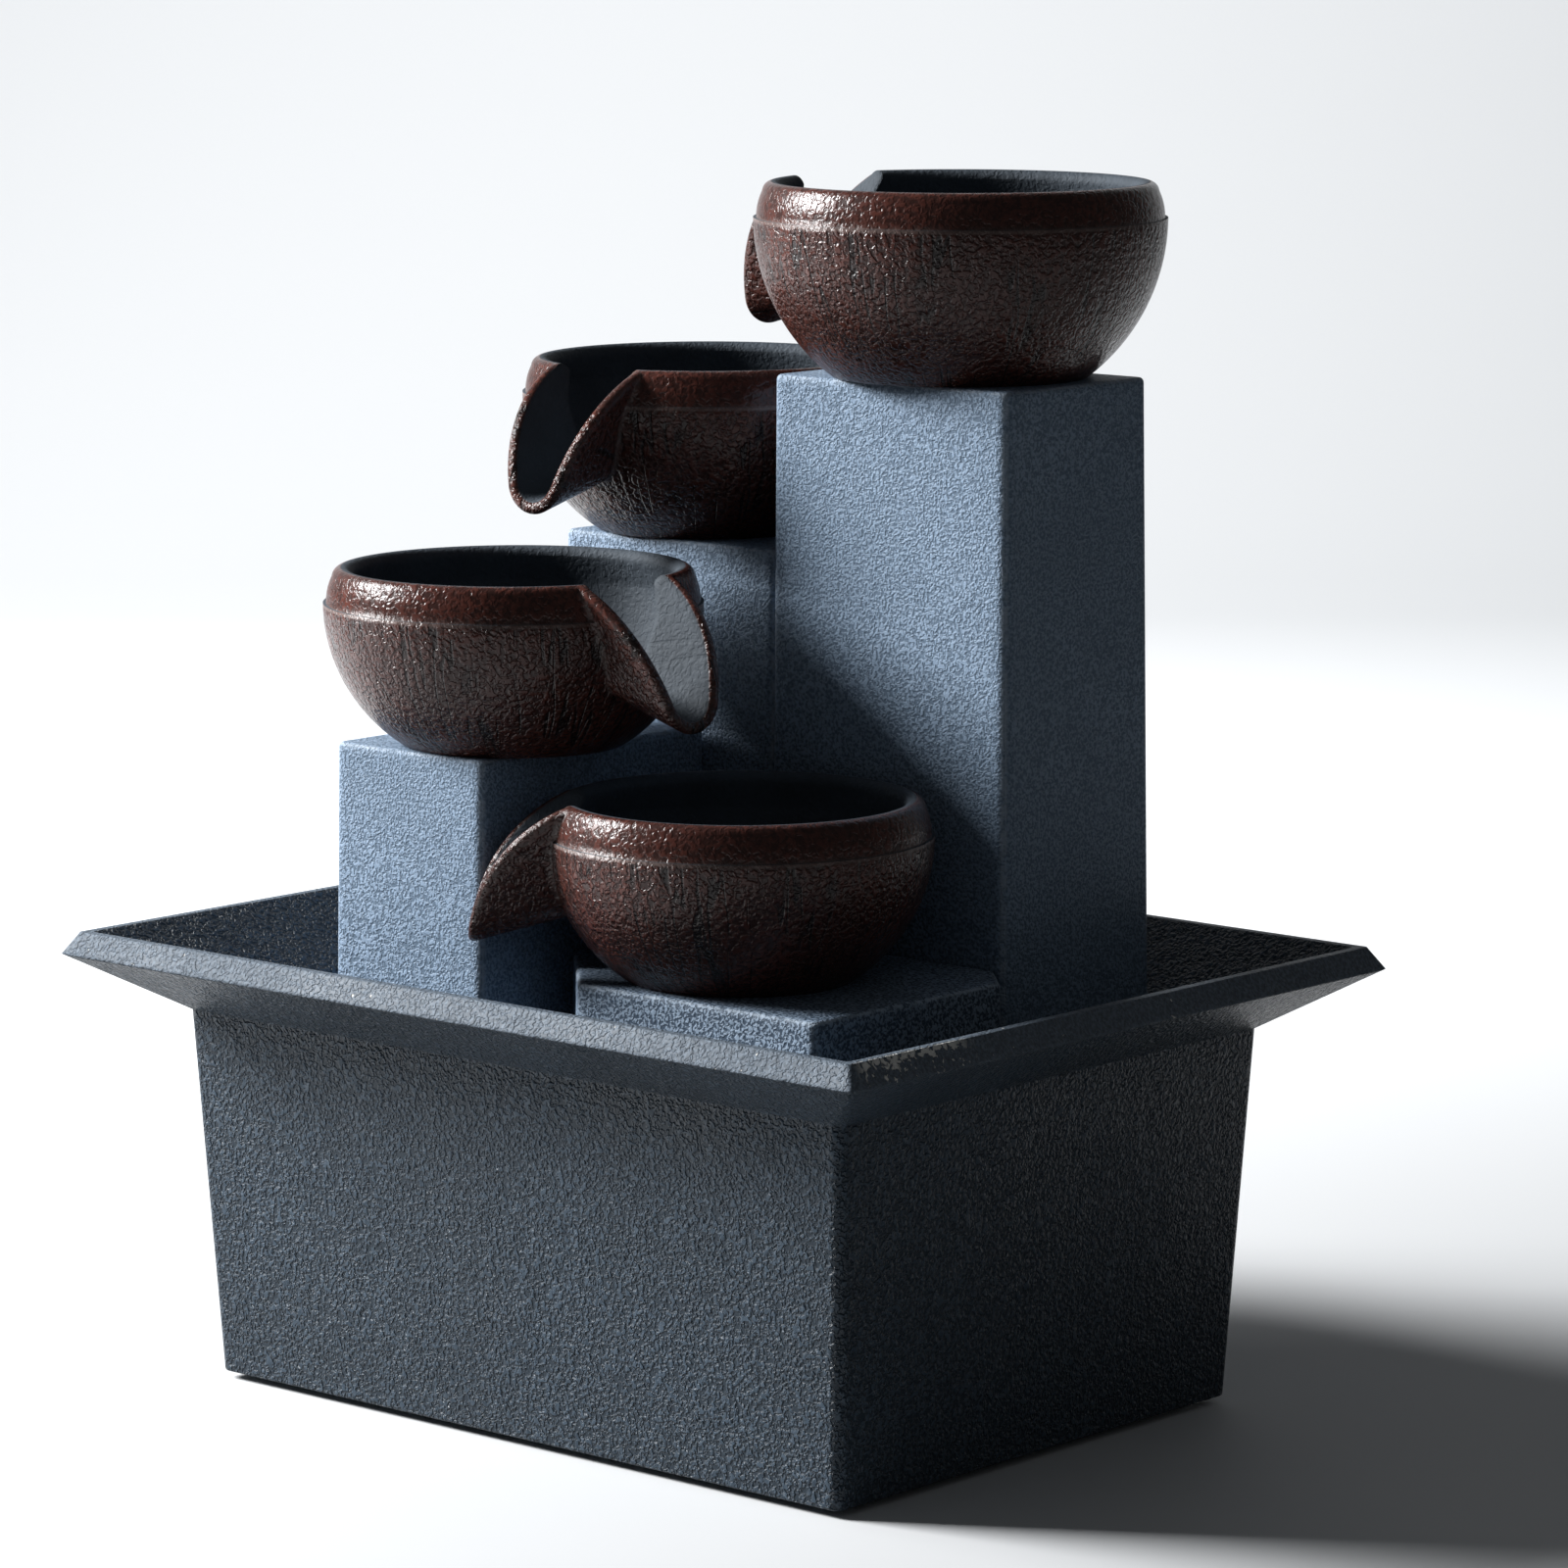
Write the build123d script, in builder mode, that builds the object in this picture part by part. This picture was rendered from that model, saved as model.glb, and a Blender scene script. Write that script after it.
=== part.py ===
from build123d import *
import os
from math import copysign, cos, radians, sin, sqrt, tan

os.makedirs("parts", exist_ok=True)

# Tabletop water fountain: a pump lifts water from a basin to the top one of four spouted bowls,
# and it falls from bowl to bowl down a stair of hollow pillars, back into the basin.
# Millimetres, +Z up, origin under the middle of the basin, front of the fountain towards -Y.

# Basin
rim_length = 210.0
rim_width = 163.0
rim_top_z = 92.2
rim_edge_drop = 4.4
rim_bevel = 2.7
rim_land = 2.0
flare_reach = 18.0
flare_drop = 11.6
wall_lean = 4.0
basin_wall = 3.0
basin_floor = 3.0
wall_corner = 2.5
inner_corner = 1.5
rim_corner = 1.0
edge_round = 0.5

# Foot pads
pad_radius = 6.0
pad_height = 3.0
pad_drop = 1.5
pad_inset = 14.0
pad_clearance = 0.2

# Notches in the back rim and the deck where a pump's lead passes
notch_x = -66.0
notch_width = 8.0
notch_depth = 8.0
deck_notch_depth = 6.0

# Deck and the posts that carry it
deck_z = 47.0
deck_thickness = 3.0
deck_gap = 1.2
deck_seat_gap = 0.2
deck_corner = 4.0
post_length = 9.0
post_width = 9.0
post_spread = 35.0
post_skin = 0.4
drain_width = 5.0
drain_length = 14.0
drain_count = 4
drain_pitch = 18.0
fall_hole_radius = 5.0

# Pillars, by the planes of their faces at the top, each top set above the rim of the bowl below
left_x = -53.1
third_width = 40.3
pillar_setback = 27.0
tall_left_x = 4.9
tall_width = 59.6
tall_front_y = 10.6
second_front_y = 11.9
platform_left_x = 12.6
platform_right_x = 72.9
platform_back_cut = 9.0
platform_top = 92.5
third_above_rim = 5.4
second_above_rim = 1.4
tall_above_rim = 0.2
pillar_lean = 0.010
pillar_wall = 2.5
pillar_roof = 3.0
pillar_corner = 2.0
pillar_edge = 1.0
seam = 0.4

# Bosses and screws that hold the pillars to the deck
boss_radius = 3.5
boss_height = 12.0
boss_sink = 1.0
screw_radius = 1.5
screw_length = 10.0
screw_head_radius = 2.8
screw_head_height = 2.0
screw_clearance = 0.1

# Bowls
top_belly = 40.75
top_height = 38.3
lower_belly = 37.5
lower_height = 35.1
bowl_wall = 4.0
bowl_floor = 4.2
foot_inset = 15.5
band_height = 7.0
band_step = 0.6
band_lean = 1.8
lip_thickness = 4.0
lip_drop = 1.8
bowl_gap = 0.6
spout_past_belly = 15.0
spout_floor_z = 9.2
spout_radius = 5.0
spout_flare = 19.5
spout_wall = 2.4
spout_shoulder = 5.0
spout_shoulder_round = 8.0
spout_lip_bulge = 5.4
spout_lip_round = 1.0
spout_tip_drop = 3.1
spout_droop = 15.0
top_spout_angle = 174.7
second_spout_angle = 270.0
third_spout_angle = -4.6
low_spout_angle = 221.0
second_bowl_back = 21.3
third_bowl_right = 27.1
third_bowl_forward = 43.4
low_bowl_left = 41.7

# Studs and nuts under the three lower bowls
stud_radius = 3.0
stud_length = 9.0
stud_clearance = 0.3
nut_width = 10.0
nut_height = 4.0
thread_clearance = 0.05

# Nozzle, its seal and nut, and the riser tube
nozzle_radius = 5.0
nozzle_bore = 2.4
nozzle_flange_radius = 8.0
nozzle_flange = 2.0
nozzle_clearance = 0.3
seal_thickness = 1.0
nozzle_nut_width = 15.0
nozzle_nut_height = 5.0
nozzle_thread_past_nut = 2.0
tail_length = 12.0
tube_wall = 1.5
tube_bore_radius = 3.5
tube_clearance = 0.1
tube_hole_clearance = 2.5

# Pump
pump_length = 33.0
pump_width = 28.0
pump_height = 26.0
pump_corner = 3.0
cup_height = 4.0
cup_radius = 5.0
cup_stem_radius = 2.0
cup_stem_length = 3.0
cup_inset = 6.0
gland_radius = 4.5
gland_length = 6.0
gland_bore = 2.6
gland_rise = 6.0
volute_length = 14.0
volute_front = 3.0
chamber_radius = 10.0
eye_radius = 6.5
hub_radius = 3.2
spoke_width = 2.0
spoke_count = 3
outlet_length = 10.5
outlet_bore = 2.3
tube_foot_gap = 2.5
ring_thickness = 1.0
ring_width = 1.6
well_radius = 7.4
thrust_gap = 0.5
magnet_radius = 6.9
magnet_length = 22.0
wheel_hub_radius = 3.5
wheel_length = 9.0
wheel_gap = 0.5
vane_reach = 8.6
vane_thickness = 1.0
vane_count = 6
shaft_radius = 1.2
bush_radius = 2.2
bush_length = 2.5
running_clearance = 0.05
seat_clearance = 0.02

# Intake strainer and flow dial
strainer_wall = 1.6
strainer_skirt = 3.0
strainer_depth = 12.0
strainer_clearance = 0.3
slot_width = 1.6
slot_height = 15.0
slot_pitch = 2.8
slots_per_side = 2
slot_edge = 1.6
port_radius = 1.8
port_circle = 5.0
port_count = 4
dial_radius = 8.0
dial_thickness = 1.8
dial_gap = 0.3
dial_grip_width = 2.4
dial_grip_length = 13.0
dial_grip_height = 3.0
dial_pin_radius = 2.0
dial_collar_radius = 2.8
dial_collar = 1.2

# Levels and places worked out from the sizes above
rim_edge_z = rim_top_z - rim_edge_drop
flare_z = rim_edge_z - flare_drop
floor_z = pad_drop + basin_floor
deck_top = deck_z + deck_thickness
front_y = pillar_setback - rim_width / 2
back_y = -front_y
third_top = platform_top + lower_height + third_above_rim
second_top = third_top + lower_height + second_above_rim
tall_top = second_top + lower_height + tall_above_rim
third_right_x = left_x + third_width
tall_right_x = tall_left_x + tall_width
tall_x = tall_left_x + tall_width / 2
tall_y = (tall_front_y + back_y) / 2
tube_radius = tube_bore_radius + tube_wall
spigot_radius = tube_bore_radius - tube_clearance
seated_bolt = screw_radius + screw_clearance


def save(builder, name):
    """Label one finished piece and write it to its own file."""
    builder.part.label = name
    export_step(builder.part, f"parts/{name}.step")


def basin_level(inset, height, corner):
    """One level of the basin: the rim's rectangle drawn in by an inset."""
    with BuildSketch(Plane.XY.offset(height)) as level:
        RectangleRounded(rim_length - 2 * inset, rim_width - 2 * inset, corner)
    return level.sketch


def inner_inset(height):
    """How far the basin's inner wall stands in from the rim's edge at a height."""
    rise = (height - floor_z) / (flare_z + basin_wall - floor_z)
    return flare_reach + basin_wall + wall_lean * (1 - rise)


# Basin: tapered walls, a flared rim and a bevelled rim edge, with posts inside for the deck
post_x = rim_length / 2 - flare_reach - wall_lean - post_skin - post_length / 2
pad_x = rim_length / 2 - flare_reach - wall_lean - pad_inset
pad_y = rim_width / 2 - flare_reach - wall_lean - pad_inset
with BuildPart() as basin:
    outer_levels = [
        basin_level(flare_reach + wall_lean, pad_drop, wall_corner),
        basin_level(flare_reach, flare_z, wall_corner),
        basin_level(0, rim_edge_z, rim_corner),
        basin_level(rim_bevel, rim_top_z, rim_corner),
    ]
    loft(sections=outer_levels, ruled=True)
    fillet(basin.edges().group_by(Axis.Z)[0], edge_round)
    inner_levels = [
        basin_level(inner_inset(floor_z), floor_z, inner_corner),
        basin_level(inner_inset(flare_z + basin_wall), flare_z + basin_wall, inner_corner),
        basin_level(rim_bevel + rim_land, rim_top_z, rim_corner),
    ]
    loft(sections=inner_levels, ruled=True, mode=Mode.SUBTRACT)
    with BuildSketch(Plane.XY.offset(floor_z)):
        with GridLocations(2 * post_x, 2 * post_spread, 2, 2):
            Rectangle(post_length, post_width)
    extrude(amount=deck_z - deck_seat_gap - floor_z)
    with BuildSketch(Plane.XY.offset(pad_drop)):
        with GridLocations(2 * pad_x, 2 * pad_y, 2, 2):
            Circle(pad_radius + pad_clearance)
    extrude(amount=pad_height - pad_drop, mode=Mode.SUBTRACT)
    with BuildSketch(Plane.XZ.offset(-rim_width / 2)):
        with Locations((notch_x, rim_top_z)):
            SlotOverall(2 * notch_depth, notch_width, rotation=90)
    extrude(amount=flare_reach + basin_wall, mode=Mode.SUBTRACT)
save(basin, "basin")

# Foot pads: four rubber discs let into the bottom of the basin
with BuildPart() as foot_pads:
    with BuildSketch():
        with GridLocations(2 * pad_x, 2 * pad_y, 2, 2):
            Circle(pad_radius)
    extrude(amount=pad_height)
    fillet(foot_pads.edges().group_by(Axis.Z)[0], edge_round)
save(foot_pads, "foot_pads")


def lean_at(top):
    """How far a pillar's outer faces have moved out between its top and the deck."""
    return pillar_lean * (top - deck_top)


def pillar_outlines(name):
    """Corners of a pillar's plan at its top and at the deck, listed anticlockwise."""
    second_lean = lean_at(second_top)
    tall_lean = lean_at(tall_top)
    third_lean = lean_at(third_top)
    low_lean = lean_at(platform_top)
    if name == "tall_pillar":
        low = (tall_left_x, tall_front_y - tall_lean, tall_right_x + tall_lean, back_y + tall_lean)
        return box_corners(tall_left_x, tall_front_y, tall_right_x, back_y), box_corners(*low)
    if name == "second_pillar":
        right = tall_left_x - seam
        low = (left_x - second_lean, second_front_y - second_lean, right, back_y + second_lean)
        return box_corners(left_x, second_front_y, right, back_y), box_corners(*low)
    if name == "third_pillar":
        back = second_front_y - second_lean - seam
        low = (left_x - third_lean, front_y - third_lean, third_right_x, back)
        return box_corners(left_x, front_y, third_right_x, back), box_corners(*low)
    side = third_right_x + seam
    back = tall_front_y - tall_lean - seam
    return (
        platform_corners(side, back, 0),
        platform_corners(side, back, low_lean),
    )


def box_corners(left, front, right, back):
    """Corners of a rectangle, from its front left one."""
    return [(left, front), (right, front), (right, back), (left, back)]


def platform_corners(side, back, lean):
    """Corners of the low platform: both its ends are cut at 45 degrees."""
    front = front_y - lean
    right = platform_right_x + lean
    cut_start = platform_left_x - lean
    return [
        (cut_start, front),
        (right, front),
        (right, back - platform_back_cut),
        (right - platform_back_cut, back),
        (side, back),
        (side, front + cut_start - side),
    ]


def rounded_plan(corners, height, draw_in, corner_radius):
    """A pillar's plan at one height, drawn in by a wall, with rounded corners."""
    with BuildSketch(Plane.XY.offset(height)) as plan:
        with BuildLine():
            Polyline(*corners, close=True)
        make_face()
        if draw_in:
            offset(amount=-draw_in, kind=Kind.INTERSECTION)
        fillet(plan.vertices(), corner_radius)
    return plan.sketch


def boss_places(name):
    """Two screw bosses, in opposite square inner corners of a pillar at the deck."""
    corners = pillar_outlines(name)[1]
    chosen = (corners[0], corners[2])
    if name == "low_platform":
        chosen = (corners[1], corners[4])
    middle_x = sum(x for x, y in chosen) / 2
    middle_y = sum(y for x, y in chosen) / 2
    reach = pillar_wall + boss_radius - boss_sink
    return [(x + copysign(reach, middle_x - x), y + copysign(reach, middle_y - y)) for x, y in chosen]


def hollow_pillar(name, top, hole, hole_radius):
    """A moulded hollow pillar, open below, with leaning faces, screw bosses and a roof hole."""
    upper, lower = pillar_outlines(name)
    roof = top - pillar_roof
    with BuildPart() as pillar:
        loft(
            sections=[
                rounded_plan(lower, deck_top, 0, pillar_corner),
                rounded_plan(upper, top, 0, pillar_corner),
            ],
            ruled=True,
        )
        fillet(pillar.faces().sort_by(Axis.Z)[-1].edges(), pillar_edge)
        loft(
            sections=[
                rounded_plan(lower, deck_top, pillar_wall, pillar_corner / 2),
                rounded_plan(upper, roof, pillar_wall, pillar_corner / 2),
            ],
            ruled=True,
            mode=Mode.SUBTRACT,
        )
        with BuildSketch(Plane.XY.offset(deck_top)):
            with Locations(*boss_places(name)):
                Circle(boss_radius)
        extrude(amount=boss_height)
        with BuildSketch(Plane.XY.offset(deck_top)):
            with Locations(*boss_places(name)):
                Circle(seated_bolt)
        extrude(amount=screw_length, mode=Mode.SUBTRACT)
        with BuildSketch(Plane.XY.offset(roof)):
            with Locations(hole):
                Circle(hole_radius)
        extrude(amount=pillar_roof, mode=Mode.SUBTRACT)
    save(pillar, name)


# Where each bowl stands, with its belly, height and the way its spout points
bowls = {
    "top_bowl": (tall_x, tall_y, tall_top, top_belly, top_height, top_spout_angle),
    "second_bowl": (
        tall_left_x - bowl_gap - lower_belly,
        second_front_y + second_bowl_back,
        second_top,
        lower_belly,
        lower_height,
        second_spout_angle,
    ),
    "third_bowl": (
        left_x + third_bowl_right,
        second_front_y - third_bowl_forward,
        third_top,
        lower_belly,
        lower_height,
        third_spout_angle,
    ),
    "low_bowl": (
        platform_right_x - low_bowl_left,
        tall_front_y - pillar_lean * (tall_top - platform_top) - bowl_gap - lower_belly,
        platform_top,
        lower_belly,
        lower_height,
        low_spout_angle,
    ),
}
pillar_bowls = {
    "tall_pillar": "top_bowl",
    "second_pillar": "second_bowl",
    "third_pillar": "third_bowl",
    "low_platform": "low_bowl",
}

# Pillars: each stands on the deck and carries one bowl
for pillar_name, bowl_name in pillar_bowls.items():
    bowl_x, bowl_y, pillar_top = bowls[bowl_name][:3]
    hole_size = stud_radius + stud_clearance
    if bowl_name == "top_bowl":
        hole_size = nozzle_radius + nozzle_clearance
    hollow_pillar(pillar_name, pillar_top, (bowl_x, bowl_y), hole_size)

# Deck: the plate under the pillars, with drains for the water that comes back
deck_length = rim_length - 2 * inner_inset(deck_z) - 2 * deck_gap
deck_width = rim_width - 2 * inner_inset(deck_z) - 2 * deck_gap
drain_x = (-deck_length / 2 + left_x - lean_at(second_top)) / 2
fall_hole_x = (third_right_x + platform_left_x) / 2 - fall_hole_radius
fall_hole_y = front_y + fall_hole_radius
screw_places = [place for name in pillar_bowls for place in boss_places(name)]
with BuildPart() as deck:
    with BuildSketch(Plane.XY.offset(deck_z)):
        RectangleRounded(deck_length, deck_width, deck_corner)
        with Locations((tall_x, tall_y)):
            Circle(tube_radius + tube_hole_clearance, mode=Mode.SUBTRACT)
        with Locations((drain_x, 0)):
            with GridLocations(0, drain_pitch, 1, drain_count):
                SlotOverall(drain_length, drain_width, mode=Mode.SUBTRACT)
        with Locations((fall_hole_x, fall_hole_y)):
            Circle(fall_hole_radius, mode=Mode.SUBTRACT)
        with Locations((notch_x, deck_width / 2)):
            SlotOverall(2 * deck_notch_depth, notch_width, rotation=90, mode=Mode.SUBTRACT)
        with Locations(*screw_places):
            Circle(seated_bolt, mode=Mode.SUBTRACT)
    extrude(amount=deck_thickness)
save(deck, "deck")

# Pillar screws: two under each pillar, up through the deck into its bosses
with BuildPart() as pillar_screws:
    with BuildSketch(Plane.XY.offset(deck_z - screw_head_height)):
        with Locations(*screw_places):
            Circle(screw_head_radius)
    extrude(amount=screw_head_height)
    with BuildSketch(Plane.XY.offset(deck_z)):
        with Locations(*screw_places):
            Circle(screw_radius)
    extrude(amount=screw_length)
save(pillar_screws, "pillar_screws")


def spout_section(plane, radius, top):
    """The spout's cross-section: a round-bottomed V that flares towards the rim."""
    vertex = spout_radius - radius / sin(radians(spout_flare))
    half_width = (top - vertex) * tan(radians(spout_flare))
    with BuildSketch(plane) as section:
        with BuildLine():
            Polyline((-half_width, top), (0, vertex), (half_width, top), close=True)
        make_face()
        fillet(section.vertices().sort_by(Axis.Y)[0], radius)
    return section.sketch


def bowl_with_spout(name, x, y, base_z, belly, height, angle):
    """A round bowl with a stepped band under its lip and a pouring spout pinched out of its wall."""
    along = (cos(radians(angle)), sin(radians(angle)), 0)
    across = (-along[1], along[0], 0)
    centre = (x, y, base_z)
    side = Plane(origin=centre, x_dir=along, z_dir=(along[1], -along[0], 0))
    groove_z = height - band_height
    foot_radius = belly - foot_inset
    curve = (foot_inset**2 + groove_z**2) / (2 * foot_inset)
    inner_curve = curve - bowl_wall
    floor_radius = belly - curve + sqrt(inner_curve**2 - (groove_z - bowl_floor) ** 2)
    lip_z = height - lip_drop
    lip_outer = belly - band_lean
    lip_inner = lip_outer - lip_thickness
    crest = lip_outer - lip_thickness / 2
    reach = belly + spout_past_belly
    shoulder = belly - spout_shoulder
    upright = Axis(centre, (0, 0, 1))
    crosswise = Axis(centre, across)
    tip = (x + reach * along[0], y + reach * along[1], base_z + spout_floor_z)
    level = cos(radians(spout_droop))
    mouth = Plane(
        origin=tip,
        x_dir=across,
        z_dir=(along[0] * level, along[1] * level, -sin(radians(spout_droop))),
    )

    with BuildPart() as spout:
        extrude(spout_section(mouth, spout_radius + spout_wall, height), amount=reach, both=True)
        extrude(spout_section(mouth, spout_radius, height), amount=reach, both=True, mode=Mode.SUBTRACT)
        with BuildSketch(side) as lip_side:
            with BuildLine():
                lip_end = (reach, spout_floor_z - spout_tip_drop)
                SagittaArc((shoulder, height), lip_end, spout_lip_bulge)
                Polyline((shoulder, height), (0, height), (0, 0), (reach, 0), lip_end)
            make_face()
            fillet(lip_side.vertices().group_by(Axis.Y)[-1].sort_by(Axis.X)[-1], spout_shoulder_round)
        extrude(amount=belly, both=True, mode=Mode.INTERSECT)
        round_faces = spout.faces().filter_by(GeomType.CYLINDER)
        lip_faces = round_faces.filter_by(lambda face: face.axis_of_rotation.is_parallel(crosswise))
        lip_edges = (lip_faces + spout.faces().filter_by(Axis.Z)).edges()
        fillet(lip_edges.filter_by(crosswise, reverse=True), spout_lip_round)
        with BuildSketch(side):
            with BuildLine():
                Polyline((floor_radius, bowl_floor), (0, bowl_floor), (0, height), (crest, height))
                TangentArc((crest, height), (lip_inner, lip_z), tangent=(-1, 0))
                Line((lip_inner, lip_z), (belly - bowl_wall, groove_z))
                TangentArc((belly - bowl_wall, groove_z), (floor_radius, bowl_floor), tangent=(0, -1))
            make_face()
        revolve(axis=upright, mode=Mode.SUBTRACT)

    with BuildPart() as bowl:
        with BuildSketch(side):
            with BuildLine():
                Polyline((floor_radius, bowl_floor), (0, bowl_floor), (0, 0), (foot_radius, 0))
                TangentArc((belly, groove_z), (foot_radius, 0), tangent=(0, -1))
                Line((belly, groove_z), (belly - band_step, groove_z))
                TangentArc((belly - band_step, groove_z), (lip_outer, lip_z), tangent=(0, 1))
                ThreePointArc((lip_outer, lip_z), (crest, height), (lip_inner, lip_z))
                Line((lip_inner, lip_z), (belly - bowl_wall, groove_z))
                TangentArc((belly - bowl_wall, groove_z), (floor_radius, bowl_floor), tangent=(0, -1))
            make_face()
        revolve(axis=upright)
        extrude(spout_section(mouth, spout_radius, height), amount=reach, both=True, mode=Mode.SUBTRACT)
        add(spout.part)
        if name == "top_bowl":
            with BuildSketch(Plane(centre)):
                Circle(nozzle_radius + nozzle_clearance)
            extrude(amount=bowl_floor, mode=Mode.SUBTRACT)
        else:
            with BuildSketch(Plane(centre)):
                Circle(stud_radius)
            extrude(amount=-stud_length)
    save(bowl, name)


# Bowls
for bowl_name, place in bowls.items():
    bowl_with_spout(bowl_name, *place)

# Nuts that hold the three lower bowls by the studs under them
with BuildPart() as bowl_nuts:
    for bowl_name in ("second_bowl", "third_bowl", "low_bowl"):
        bowl_x, bowl_y, pillar_top = bowls[bowl_name][:3]
        with BuildSketch(Plane.XY.offset(pillar_top - pillar_roof - nut_height)):
            with Locations((bowl_x, bowl_y)):
                RegularPolygon(nut_width / 2, 6, major_radius=False)
                Circle(stud_radius + thread_clearance, mode=Mode.SUBTRACT)
        extrude(amount=nut_height)
save(bowl_nuts, "bowl_nuts")

# Outlet nozzle: a flanged spigot through the top bowl's floor, with a tail for the riser tube
bowl_floor_z = tall_top + bowl_floor
flange_z = bowl_floor_z + seal_thickness
nozzle_nut_z = tall_top - pillar_roof - nozzle_nut_height
thread_end_z = nozzle_nut_z - nozzle_thread_past_nut
with BuildPart() as nozzle:
    with BuildSketch(Plane.XY.offset(thread_end_z - tail_length)):
        with Locations((tall_x, tall_y)):
            Circle(spigot_radius)
    extrude(amount=tail_length)
    with BuildSketch(Plane.XY.offset(thread_end_z)):
        with Locations((tall_x, tall_y)):
            Circle(nozzle_radius)
    extrude(amount=flange_z - thread_end_z)
    with BuildSketch(Plane.XY.offset(flange_z)):
        with Locations((tall_x, tall_y)):
            Circle(nozzle_flange_radius)
    extrude(amount=nozzle_flange)
    fillet(nozzle.edges().group_by(Axis.Z)[-1], edge_round)
    with BuildSketch(Plane.XY.offset(thread_end_z - tail_length)):
        with Locations((tall_x, tall_y)):
            Circle(nozzle_bore)
    extrude(amount=flange_z + nozzle_flange - thread_end_z + tail_length, mode=Mode.SUBTRACT)
save(nozzle, "nozzle")

# Rubber seal under the nozzle's flange
with BuildPart() as nozzle_seal:
    with BuildSketch(Plane.XY.offset(bowl_floor_z)):
        with Locations((tall_x, tall_y)):
            Circle(nozzle_flange_radius)
            Circle(nozzle_radius + seat_clearance, mode=Mode.SUBTRACT)
    extrude(amount=seal_thickness)
save(nozzle_seal, "nozzle_seal")

# Nut under the tall pillar's roof that clamps the top bowl
with BuildPart() as nozzle_nut:
    with BuildSketch(Plane.XY.offset(nozzle_nut_z)):
        with Locations((tall_x, tall_y)):
            RegularPolygon(nozzle_nut_width / 2, 6, major_radius=False)
            Circle(nozzle_radius + thread_clearance, mode=Mode.SUBTRACT)
    extrude(amount=nozzle_nut_height)
save(nozzle_nut, "nozzle_nut")

# Pump places: its axis runs along X, and its outlet stands under the nozzle
pump_base_z = floor_z + cup_height
pump_z = pump_base_z + pump_height / 2
pump_top_z = pump_base_z + pump_height
volute_back = tall_x - volute_length / 2
volute_end = tall_x + volute_length / 2
chamber_end = volute_end - volute_front
housing_front = volute_back - ring_thickness
housing_back = housing_front - pump_length
wheel_back = volute_back + wheel_gap
magnet_back = wheel_back - magnet_length
well_end = magnet_back - thrust_gap
housing_x = (housing_front + housing_back) / 2
pump_centre = (tall_y, pump_z)

# Riser tube: pushed over the nozzle's tail above and the pump's outlet below
tube_foot_z = pump_top_z + tube_foot_gap
with BuildPart() as riser_tube:
    with BuildSketch(Plane.XY.offset(tube_foot_z)):
        with Locations((tall_x, tall_y)):
            Circle(tube_radius)
            Circle(tube_bore_radius, mode=Mode.SUBTRACT)
    extrude(amount=thread_end_z - tube_foot_z)
save(riser_tube, "riser_tube")

# Pump housing: the potted motor, with the rotor's well, a lead gland and sockets for suction cups
with BuildPart() as pump_housing:
    with BuildSketch(Plane.YZ.offset(housing_back)):
        with Locations(pump_centre):
            RectangleRounded(pump_width, pump_height, pump_corner)
    extrude(amount=pump_length)
    fillet(pump_housing.edges().group_by(Axis.X)[0], edge_round)
    with BuildSketch(Plane.YZ.offset(housing_back)):
        with Locations((tall_y, pump_z + gland_rise)):
            Circle(gland_radius)
    extrude(amount=-gland_length)
    with BuildSketch(Plane.YZ.offset(housing_back - gland_length)):
        with Locations((tall_y, pump_z + gland_rise)):
            Circle(gland_bore)
    extrude(amount=gland_length, mode=Mode.SUBTRACT)
    with BuildSketch(Plane.YZ.offset(well_end)):
        with Locations(pump_centre):
            Circle(well_radius)
    extrude(amount=housing_front - well_end, mode=Mode.SUBTRACT)
    with BuildSketch(Plane.YZ.offset(well_end - bush_length)):
        with Locations(pump_centre):
            Circle(bush_radius + seat_clearance)
    extrude(amount=bush_length, mode=Mode.SUBTRACT)
    with BuildSketch(Plane.XY.offset(pump_base_z)):
        with Locations((housing_x, tall_y)):
            with GridLocations(pump_length - 2 * cup_inset, pump_width - 2 * cup_inset, 2, 2):
                Circle(cup_stem_radius + seat_clearance)
    extrude(amount=cup_stem_length, mode=Mode.SUBTRACT)
save(pump_housing, "pump_housing")

# Suction cups: four rubber feet that hold the pump to the basin's floor
with BuildPart() as suction_cups:
    with Locations((housing_x, tall_y, floor_z)):
        with GridLocations(pump_length - 2 * cup_inset, pump_width - 2 * cup_inset, 2, 2):
            Cone(cup_radius, cup_stem_radius, cup_height, align=(Align.CENTER, Align.CENTER, Align.MIN))
            Cone(
                cup_radius - edge_round,
                cup_stem_radius / 2,
                cup_height / 2,
                align=(Align.CENTER, Align.CENTER, Align.MIN),
                mode=Mode.SUBTRACT,
            )
    with BuildSketch(Plane.XY.offset(pump_base_z)):
        with Locations((housing_x, tall_y)):
            with GridLocations(pump_length - 2 * cup_inset, pump_width - 2 * cup_inset, 2, 2):
                Circle(cup_stem_radius)
    extrude(amount=cup_stem_length)
save(suction_cups, "suction_cups")

# Seal ring between the housing and the volute cover
with BuildPart() as volute_seal:
    with BuildSketch(Plane.YZ.offset(housing_front)):
        with Locations(pump_centre):
            Circle(chamber_radius + ring_width)
            Circle(chamber_radius, mode=Mode.SUBTRACT)
    extrude(amount=ring_thickness)
save(volute_seal, "volute_seal")

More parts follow.
